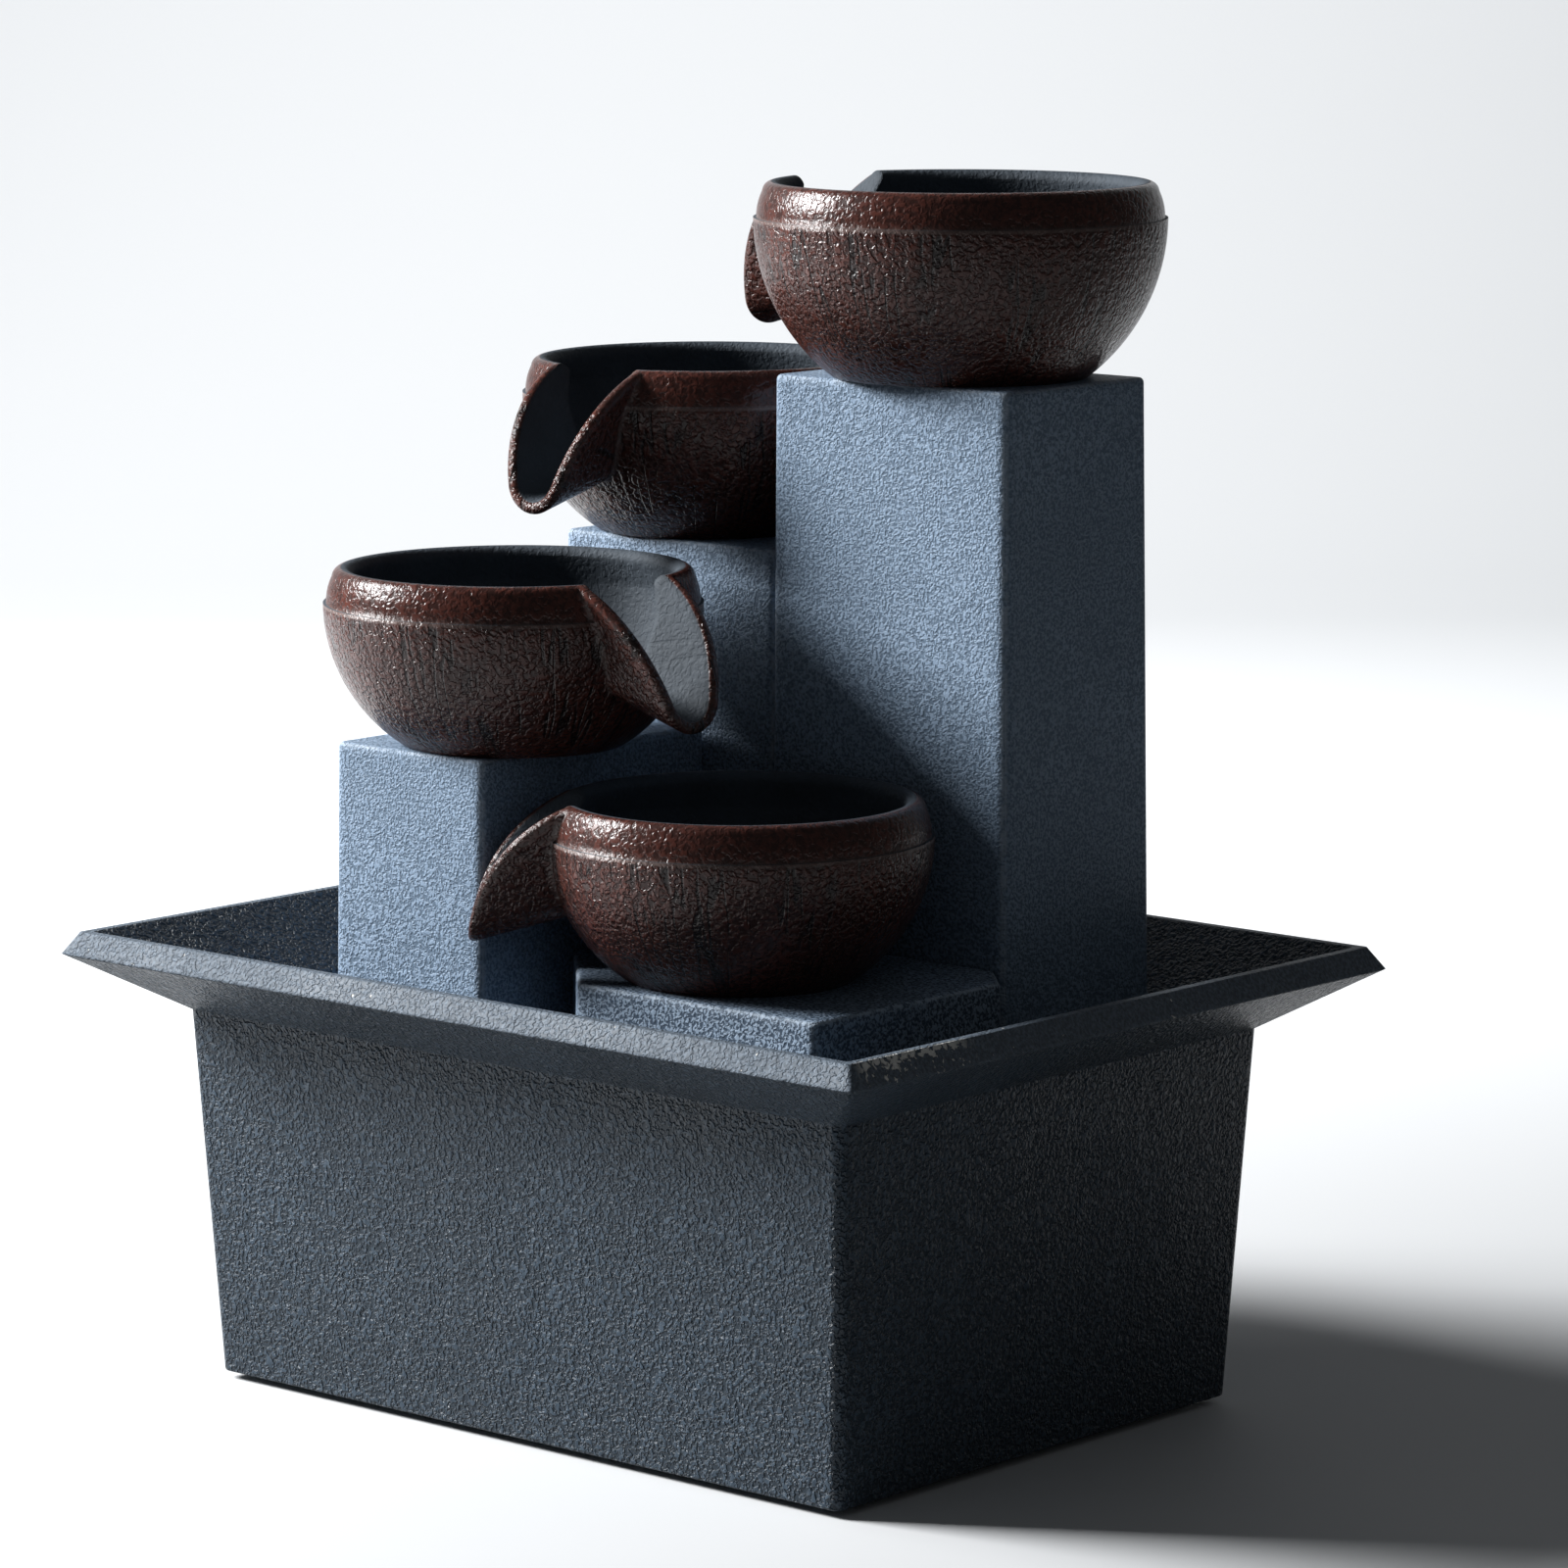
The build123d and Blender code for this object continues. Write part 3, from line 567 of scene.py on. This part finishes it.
@dataclass(frozen=True)
class BasinCharcoal(Finish):
    """Charcoal moulded plastic with a raised grain, and a paler scuffed bevel along the rim."""

    relief: float = 0.00075
    grain_scale: float = 1150.0
    grain_blur: float = 0.12
    drift_scale: float = 22.0
    drift_spread: float = 0.22
    wear_radius: float = 0.0010
    wear_breaks: float = 300.0
    deep: Colour = (0.024, 0.038, 0.054)
    raised: Colour = (0.070, 0.104, 0.144)
    bevel: Colour = (0.125, 0.156, 0.194)
    chip: Colour = (0.85, 0.84, 0.80)
    cover_least: float = 0.45
    cover_drift: float = 0.4
    wear_share: float = 0.55
    wear_shade: float = 1.5
    gloss_drift: float = 0.12
    rim_top: float = 0.0
    rim_edge: float = 0.0
    rim_fade: float = 0.0004
    outward_start: Span = (-0.002, 0.0)
    scuff_scale: float = 1400.0
    scuff_span: Span = (0.38, 0.68)
    scuff_shades: Span = (0.72, 1.22)
    bevel_smoothing: float = -0.75
    bevel_matt: float = 0.22
    chip_x: float = 0.0
    chip_low_y: float = 0.0
    chip_high_y: float = 0.0
    chip_fades: Point = (0.001, 0.004, 0.008)
    chip_depths: Span = (0.0022, 0.0003)
    chip_crowding: float = 0.16
    chip_relief: float = -0.4
    flake_scale: float = 760.0
    flake_bend: float = 0.6
    flake_span: Span = (0.60, 0.64)
    stray_scale: float = 520.0
    stray_span: Span = (0.72, 0.74)

    def chips(self, desk: Desk, place: Socket) -> Socket:
        """Where paint has flaked off: crowded at one corner's top edge, and a few strays.

        Args:
            desk: the material's desk.
            place: the point on the surface.

        Returns:
            The mask.
        """
        x, y, z = desk.parts(place)
        fade_x, fade_low, fade_high = self.chip_fades
        near = desk.product(
            desk.step(y, self.chip_low_y, self.chip_low_y + fade_low),
            desk.step(y, self.chip_high_y, self.chip_high_y - fade_high),
            desk.step(x, self.chip_x - fade_x, self.chip_x),
        )
        start, end = self.chip_depths
        crowding = desk.product(desk.step(z, self.rim_top - start, self.rim_top - end), self.chip_crowding)
        flakes = desk.math("ADD", desk.noise(place, self.flake_scale, 4.0, self.flake_bend), crowding)
        strays = desk.step(desk.noise(place, self.stray_scale, 3.0), *self.stray_span)
        return desk.math("MAXIMUM", desk.product(near, desk.step(flakes, *self.flake_span)), strays)

    def coat(self, desk: Desk, place: Socket, normal: Socket) -> Coat:
        """The grain, the paler bevel and the chips in it.

        Args:
            desk: the material's desk.
            place: the point on the surface.
            normal: the surface's normal at rest.

        Returns:
            What goes to the shader.
        """
        marks = self.marks(desk, place)
        outward = desk.vector("DOT_PRODUCT", normal, desk.vector("MULTIPLY", place, (1.0, 1.0, 0.0)))
        on_edge = desk.step(desk.parts(place)[2], self.rim_edge - self.rim_fade, self.rim_edge)
        on_bevel = desk.product(on_edge, desk.step(outward, *self.outward_start))
        cover = desk.product(marks.ridge, desk.line(marks.drift, self.cover_drift, self.cover_least))
        scuffs = desk.step(desk.noise(place, self.scuff_scale, 3.0), *self.scuff_span)
        dull, bright = (shaded(self.bevel, shade) for shade in self.scuff_shades)
        colour = desk.mix(on_bevel, desk.mix(cover, self.deep, self.raised), desk.mix(scuffs, dull, bright))
        worn = desk.product(marks.wear, self.wear_share)
        colour = desk.mix(worn, colour, shaded(self.bevel, self.wear_shade))
        chips = desk.product(on_bevel, self.chips(desk, place))
        grain = desk.product(marks.height, desk.line(on_bevel, self.bevel_smoothing, 1.0))
        uneven = desk.line(marks.drift, self.gloss_drift, self.roughness - self.gloss_drift / 2)
        return Coat(
            colour=desk.mix(chips, colour, self.chip),
            height=desk.line(chips, self.chip_relief, grain),
            roughness=desk.line(on_bevel, self.bevel_matt, uneven),
            normal=marks.normal,
        )


@dataclass(frozen=True)
class PillarSlate(Finish):
    """Slate blue-grey stone paint: pale ridges rubbed over dark grooves, palest along the edges."""

    roughness: float = 0.6
    specular: float = 0.35
    relief: float = 0.00018
    grain_scale: float = 1650.0
    grain_blur: float = 0.14
    drift_scale: float = 26.0
    drift_spread: float = 0.25
    wear_radius: float = 0.0022
    wear_breaks: float = 420.0
    groove: Colour = (0.140, 0.203, 0.285)
    ridge: Colour = (0.345, 0.460, 0.615)
    edge: Colour = (0.420, 0.505, 0.605)
    cover_least: float = 0.62
    cover_drift: float = 0.38
    flat_span: Span = (0.80, 0.985)
    chamfer_span: Span = (0.04, 0.02)
    brush_scale: float = 420.0
    brush_span: Span = (0.32, 0.6)
    brush_share: float = 0.85
    wear_share: float = 0.6
    ridge_gloss: float = -0.08

    def coat(self, desk: Desk, place: Socket, normal: Socket) -> Coat:
        """The rubbed grain and the pale edges.

        Args:
            desk: the material's desk.
            place: the point on the surface.
            normal: the surface's normal at rest.

        Returns:
            What goes to the shader.
        """
        marks = self.marks(desk, place)
        cover = desk.product(marks.ridge, desk.line(marks.drift, self.cover_drift, self.cover_least))
        across, along, up = desk.parts(desk.vector("ABSOLUTE", normal))
        squarest = desk.math("MAXIMUM", across, desk.math("MAXIMUM", along, up))
        lean = desk.math("ABSOLUTE", desk.math("SUBTRACT", across, along))
        chamfer = desk.product(desk.step(lean, *self.chamfer_span), desk.step(up, *self.chamfer_span))
        curved = desk.math("SUBTRACT", 1.0, desk.step(squarest, *self.flat_span))
        rounded = desk.product(curved, desk.math("SUBTRACT", 1.0, chamfer))
        strokes = desk.step(desk.noise(place, self.brush_scale, 4.0), *self.brush_span)
        brushed = desk.math("MAXIMUM", desk.product(rounded, strokes), desk.product(marks.wear, self.wear_share))
        body = desk.mix(cover, self.groove, self.ridge)
        return Coat(
            colour=desk.mix(desk.product(brushed, self.brush_share), body, self.edge),
            height=marks.height,
            roughness=desk.line(marks.ridge, self.ridge_gloss, self.roughness),
            normal=marks.normal,
        )


@dataclass(frozen=True)
class BowlBark(Finish):
    """Dark red-brown pebbled bark outside, charcoal inside, the rim rubbed to a paler brown that also serves as
    painted highlight, and a painted highlight line along the ledge under the groove.
    """

    roughness: float = 0.25
    specular: float = 0.35
    relief: float = 0.00024
    grain_scale: float = 980.0
    grain_blur: float = 0.16
    drift_scale: float = 70.0
    drift_spread: float = 0.16
    wear_radius: float = 0.0022
    wear_breaks: float = 300.0
    dark: Colour = (0.018, 0.011, 0.010)
    brown: Colour = (0.138, 0.041, 0.029)
    soot: Colour = (0.010, 0.009, 0.009)
    lip_wear_and_highlight: Colour = (0.290, 0.220, 0.200)
    inside: Colour = (0.040, 0.051, 0.064)
    mouth: Point = (0.0, 0.0, 0.0)
    groove: float = 0.0
    belly: float = 0.0
    cover_least: float = 0.22
    cover_ridge: float = 0.25
    cover_drift: float = 0.35
    crack_share: float = 0.8
    crack_relief: float = -0.6
    ledge_highlight_share: float = 0.45
    wear_share: float = 0.5
    patch_share: float = 0.5
    patch_shade: float = 1.6
    relief_least: float = 0.4
    relief_body: float = 0.6
    inside_matt: float = 0.5

    def coat(self, desk: Desk, place: Socket, normal: Socket) -> Coat:
        """The bark outside, the charcoal inside, the rubbed rim with painted highlight on it, and a painted
        highlight along the ledge.

        Args:
            desk: the material's desk.
            place: the point on the surface.
            normal: the surface's normal at rest.

        Returns:
            What goes to the shader.
        """
        marks = self.marks(desk, place)
        zones = desk.place(
            Effect.BOWL_ZONES, Vector=place, Normal=normal, Mouth=self.mouth, Groove=self.groove, Belly=self.belly
        ).outputs
        ridges = desk.product(marks.ridge, desk.line(marks.drift, self.cover_drift, self.cover_ridge))
        bark = desk.mix(desk.math("ADD", self.cover_least, ridges), self.dark, self.brown)
        bark = desk.mix(desk.product(zones["Cracks"], self.crack_share), bark, self.soot)
        # Painted highlight: the pale rim colour laid along the ledge just under the groove, where the step would
        # catch the light.
        bark = desk.mix(desk.product(zones["LedgeHighlight"], self.ledge_highlight_share), bark, self.lip_wear_and_highlight)
        # Rubbed wear along the edges in the pale rim colour, which also serves as painted highlight on the rims.
        bark = desk.mix(desk.product(marks.wear, self.wear_share), bark, self.lip_wear_and_highlight)
        patches = desk.product(marks.drift, self.patch_share)
        charcoal = desk.mix(patches, self.inside, shaded(self.inside, self.patch_shade))
        pebbles = desk.line(zones["Cracks"], self.crack_relief, marks.height)
        on_body = desk.product(desk.math("SUBTRACT", 1.0, zones["Inside"]), zones["Body"])
        return Coat(
            colour=desk.mix(zones["Inside"], bark, charcoal),
            height=desk.product(pebbles, desk.line(on_body, self.relief_body, self.relief_least)),
            roughness=desk.line(zones["Inside"], self.inside_matt, self.roughness),
            normal=marks.normal,
        )


@dataclass(frozen=True)
class PlainMoulded(Finish):
    """A moulded or drawn part out of sight: fine grain, slow drift of colour, edges a little rubbed."""

    base: Colour = (0.05, 0.05, 0.05)
    rubbed: Colour = (0.10, 0.10, 0.10)
    patch_share: float = 0.5
    patch_shade: float = 1.35
    wear_share: float = 0.5
    gloss_drift: float = 0.15
    metallic: float = 0.0
    transmission: float = 0.0

    def coat(self, desk: Desk, place: Socket, normal: Socket) -> Coat:
        """The grain, the drift and the rubbed edges.

        Args:
            desk: the material's desk.
            place: the point on the surface.
            normal: the surface's normal at rest, which this finish doesn't need.

        Returns:
            What goes to the shader.
        """
        marks = self.marks(desk, place)
        patches = desk.product(marks.drift, self.patch_share)
        body = desk.mix(patches, self.base, shaded(self.base, self.patch_shade))
        return Coat(
            colour=desk.mix(desk.product(marks.wear, self.wear_share), body, self.rubbed),
            height=marks.height,
            roughness=desk.line(marks.drift, self.gloss_drift, self.roughness - self.gloss_drift / 2),
            normal=marks.normal,
        )

    def set_shader(self, shader: bpy.types.Node) -> None:
        """Metal and see-through vinyl set their own values too.

        Args:
            shader: the material's shader.
        """
        super().set_shader(shader)
        shader.inputs["Metallic"].default_value = self.metallic
        shader.inputs["Transmission Weight"].default_value = self.transmission


def dress(nodes: Sequence[str], finish: Finish) -> None:
    """Give CAD nodes one finish.

    Args:
        nodes: the nodes' names.
        finish: the finish they share.
    """
    material = finish.material()
    for name in nodes:
        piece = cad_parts[name]
        piece.data.materials.clear()
        piece.data.materials.append(material)
        LOG.info("%s: %s", name, finish.name)


@dataclass
class Basin:
    """The tub with its flared rim, and the pads under it."""

    bevel_drop: float = 0.0044
    bevel_reach: float = 0.0027
    chip_start: float = 0.003
    chip_end: float = 0.038
    rubber: Finish = PlainMoulded(name="foot_rubber", roughness=0.85, base=(0.02, 0.02, 0.021))

    def dress(self) -> None:
        """Finish the tub and its pads."""
        low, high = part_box("basin")
        charcoal = BasinCharcoal(
            name="basin_charcoal",
            roughness=0.36,
            specular=0.26,
            rim_top=high.z,
            rim_edge=high.z - self.bevel_drop,
            chip_x=high.x - self.bevel_reach,
            chip_low_y=low.y + self.chip_start,
            chip_high_y=low.y + self.chip_end,
        )
        dress(["basin"], charcoal)
        dress(["foot_pads"], self.rubber)


@dataclass
class Bowl:
    """One spouted bowl."""

    node: str
    belly: float
    height: float
    spout: Spout
    band: float = 0.007
    mouth_rise: float = 1.12

    def axis(self) -> tuple[float, float]:
        """Where the bowl's axis stands.

        Returns:
            Its X and Y.
        """
        low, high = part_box(self.node)
        place = []
        for side, way in enumerate(self.spout.value):
            if way < 0:
                place.append(high[side] - self.belly)
            elif way > 0:
                place.append(low[side] + self.belly)
            else:
                place.append((low[side] + high[side]) / 2)
        return place[0], place[1]

    def dress(self) -> None:
        """Finish the bowl inside and out."""
        x, y = self.axis()
        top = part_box(self.node)[1].z
        bark = BowlBark(
            name=f"{self.node}_bark",
            mouth=(x, y, top + self.height * (self.mouth_rise - 1.0)),
            groove=top - self.band,
            belly=self.belly,
        )
        dress([self.node], bark)


@dataclass
class Cascade:
    """The pillars and the four bowls on them, with the deck and fittings that hold them."""

    pillars: tuple[str, ...] = ("tall_pillar", "second_pillar", "third_pillar")
    bowls: tuple[Bowl, ...] = field(
        default_factory=lambda: (
            Bowl("top_bowl", 0.04075, 0.0383, Spout.LEFT),
            Bowl("second_bowl", 0.0375, 0.0351, Spout.FRONT),
            Bowl("third_bowl", 0.0375, 0.0351, Spout.RIGHT),
            Bowl("low_bowl", 0.0375, 0.0351, Spout.FRONT_LEFT),
        )
    )
    slate: Finish = PillarSlate(name="pillar_slate")
    worn_slate: Finish = PillarSlate(
        name="platform_slate",
        groove=(0.062, 0.096, 0.146),
        ridge=(0.380, 0.490, 0.630),
        grain_scale=1450.0,
        grain_blur=0.10,
    )
    charcoal: Finish = PlainMoulded(
        name="deck_charcoal", roughness=0.6, base=(0.045, 0.050, 0.056), grain_scale=900.0
    )
    satin: Finish = PlainMoulded(name="fitting_satin", roughness=0.4, base=(0.055, 0.055, 0.06))
    rubber: Finish = PlainMoulded(name="seal_rubber", roughness=0.8, base=(0.022, 0.022, 0.022))
    steel: Finish = PlainMoulded(name="screw_steel", roughness=0.3, base=(0.45, 0.45, 0.46), metallic=1.0)
    vinyl: Finish = PlainMoulded(
        name="tube_vinyl", roughness=0.25, base=(0.72, 0.76, 0.76), rubbed=(0.8, 0.8, 0.8), transmission=0.75
    )

    def dress(self) -> None:
        """Finish the stair of pillars, its bowls and its fittings."""
        dress(self.pillars, self.slate)
        dress(["low_platform"], self.worn_slate)
        for bowl in self.bowls:
            bowl.dress()
        dress(["deck"], self.charcoal)
        dress(["bowl_nuts", "nozzle", "nozzle_nut"], self.satin)
        dress(["nozzle_seal"], self.rubber)
        dress(["pillar_screws"], self.steel)
        dress(["riser_tube"], self.vinyl)


@dataclass
class Pump:
    """The small submersible pump in the sump."""

    black: Finish = PlainMoulded(name="pump_black", roughness=0.35, base=(0.018, 0.018, 0.02))
    rubber: Finish = PlainMoulded(name="pump_rubber", roughness=0.7, base=(0.03, 0.03, 0.032))
    white: Finish = PlainMoulded(
        name="pump_white", roughness=0.45, base=(0.62, 0.62, 0.6), rubbed=(0.7, 0.7, 0.7)
    )
    steel: Finish = PlainMoulded(name="shaft_steel", roughness=0.2, base=(0.55, 0.55, 0.56), metallic=1.0)
    ferrite: Finish = PlainMoulded(
        name="magnet_ferrite", roughness=0.65, base=(0.06, 0.06, 0.064), metallic=0.3
    )

    def dress(self) -> None:
        """Finish the pump's pieces."""
        dress(["pump_housing", "volute_cover", "intake_strainer"], self.black)
        dress(["suction_cups", "volute_seal", "shaft_bushes"], self.rubber)
        dress(["impeller_wheel", "flow_dial"], self.white)
        dress(["impeller_shaft"], self.steel)
        dress(["rotor_magnet"], self.ferrite)


@dataclass
class Lamp:
    """One soft square light."""

    name: str
    azimuth: float
    elevation: float
    distance: float
    size: float
    power: float
    colour: Colour
    target: Point

    def build(self) -> None:
        """Hang the lamp and aim it."""
        data = bpy.data.lights.new(self.name, "AREA")
        data.shape = "SQUARE"
        data.size = self.size
        data.energy = self.power
        data.color = self.colour
        lamp = bpy.data.objects.new(self.name, data)
        bpy.context.scene.collection.objects.link(lamp)
        aim = towards(self.azimuth, self.elevation)
        lamp.location = Vector(self.target) + aim * self.distance
        lamp.rotation_euler = aim.to_track_quat("Z", "Y").to_euler()


@dataclass
class Studio:
    """The pale floor and backdrop, the lights and the camera."""

    floor_reach: float = 3.0
    sweep_start: float = 1.2
    sweep_radius: float = 0.6
    sweep_steps: int = 12
    wall_height: float = 2.5
    floor_colour: Colour = (0.80, 0.81, 0.82)
    floor_bounce: Colour = (0.16, 0.163, 0.166)
    floor_roughness: float = 0.75
    paper_scale: float = 900.0
    paper_shade: float = 0.985
    sky: Colour = (0.92, 0.96, 1.0)
    sky_strength: float = 0.06
    wall_aim: Span = (1.7, 0.2)
    camera_azimuth: float = 41.37
    camera_elevation: float = 8.93
    camera_distance: float = 1.2917
    camera_target: Point = (0.00969, 0.00852, 0.12356)
    camera_lens: float = 149.2
    camera_sensor: float = 36.0

    def sweep_profile(self) -> list[tuple[float, float]]:
        """The floor's line from the front, up through the sweep, to the top of the backdrop.

        Returns:
            Points as a way back from the object and a height.
        """
        profile = [(-self.floor_reach, 0.0)]
        for step in range(self.sweep_steps + 1):
            turn = radians(90.0) * step / self.sweep_steps
            along = self.sweep_start + self.sweep_radius * sin(turn)
            profile.append((along, self.sweep_radius * (1.0 - cos(turn))))
        profile.append((self.sweep_start + self.sweep_radius, self.wall_height))
        return profile

    def paper(self) -> bpy.types.Material:
        """The floor's paper: pale to the eye and in reflections, darker in the light it throws back.

        Returns:
            A new material.
        """
        material = bpy.data.materials.new("floor_paper")
        material.use_nodes = True
        desk = Desk(material.node_tree)
        place = desk.add("ShaderNodeTexCoord").outputs["Object"]
        fibres = desk.noise(place, self.paper_scale, 3.0)
        pale = desk.mix(fibres, shaded(self.floor_colour, self.paper_shade), self.floor_colour)
        rays = desk.add("ShaderNodeLightPath").outputs
        seen = desk.math("ADD", rays["Is Camera Ray"], rays["Is Glossy Ray"])
        seen = desk.math("MINIMUM", desk.math("ADD", seen, rays["Is Transmission Ray"]), 1.0)
        shader = desk.add("ShaderNodeBsdfPrincipled")
        desk.feed(shader.inputs["Base Color"], desk.mix(seen, self.floor_bounce, pale))
        shader.inputs["Roughness"].default_value = self.floor_roughness
        desk.end("ShaderNodeOutputMaterial", shader)
        return material

    def floor(self) -> None:
        """Lay a floor that sweeps up into a backdrop behind the object."""
        back = -towards(self.camera_azimuth, 0.0)
        across = Vector((-back.y, back.x, 0.0))
        profile = self.sweep_profile()
        points = []
        for side in (-self.floor_reach, self.floor_reach):
            points += [tuple(back * along + across * side + Vector((0.0, 0.0, up))) for along, up in profile]
        count = len(profile)
        faces = [(i, i + 1, count + i + 1, count + i) for i in range(count - 1)]
        mesh = bpy.data.meshes.new("floor_sweep")
        mesh.from_pydata(points, [], faces)
        for face in mesh.polygons:
            face.use_smooth = True
        mesh.materials.append(self.paper())
        sweep = bpy.data.objects.new("floor_sweep", mesh)
        bpy.context.scene.collection.objects.link(sweep)

    def light(self) -> None:
        """A soft key from the left, a lamp on the backdrop and a dim even sky."""
        world = bpy.data.worlds.new("studio")
        bpy.context.scene.world = world
        world.use_nodes = True
        desk = Desk(world.node_tree)
        glow = desk.add("ShaderNodeBackground")
        desk.feed(glow.inputs["Color"], self.sky)
        glow.inputs["Strength"].default_value = self.sky_strength
        desk.end("ShaderNodeOutputWorld", glow)
        behind, up = self.wall_aim
        wall = -towards(self.camera_azimuth, 0.0) * behind + Vector((0.0, 0.0, up))
        Lamp(
            name="key",
            azimuth=-62.0,
            elevation=31.0,
            distance=1.3,
            size=0.5,
            power=40.0,
            colour=(0.98, 0.99, 1.0),
            target=(0.0, 0.0, 0.1),
        ).build()
        Lamp(
            name="backdrop",
            azimuth=self.camera_azimuth,
            elevation=32.5,
            distance=1.3,
            size=0.8,
            power=11.0,
            colour=(0.97, 0.985, 1.0),
            target=tuple(wall),
        ).build()

    def camera(self) -> None:
        """Stand the camera at the photograph's angle."""
        data = bpy.data.cameras.new("camera")
        data.sensor_width = self.camera_sensor
        data.lens = self.camera_lens
        camera = bpy.data.objects.new("camera", data)
        bpy.context.scene.collection.objects.link(camera)
        back = towards(self.camera_azimuth, self.camera_elevation)
        camera.location = Vector(self.camera_target) + back * self.camera_distance
        camera.rotation_euler = back.to_track_quat("Z", "Y").to_euler()
        bpy.context.scene.camera = camera

    def build(self) -> None:
        """Set up the floor, the lights and the camera."""
        self.floor()
        self.light()
        self.camera()
        bpy.context.scene.view_settings.view_transform = "Standard"


def main() -> None:
    """Build the effects, finish every piece and set up the studio."""
    logging.basicConfig(level=logging.INFO, format="%(name)s: %(message)s")
    EffectLibrary().build()
    Basin().dress()
    Cascade().dress()
    Pump().dress()
    Studio().build()


if __name__ == "__main__":
    main()
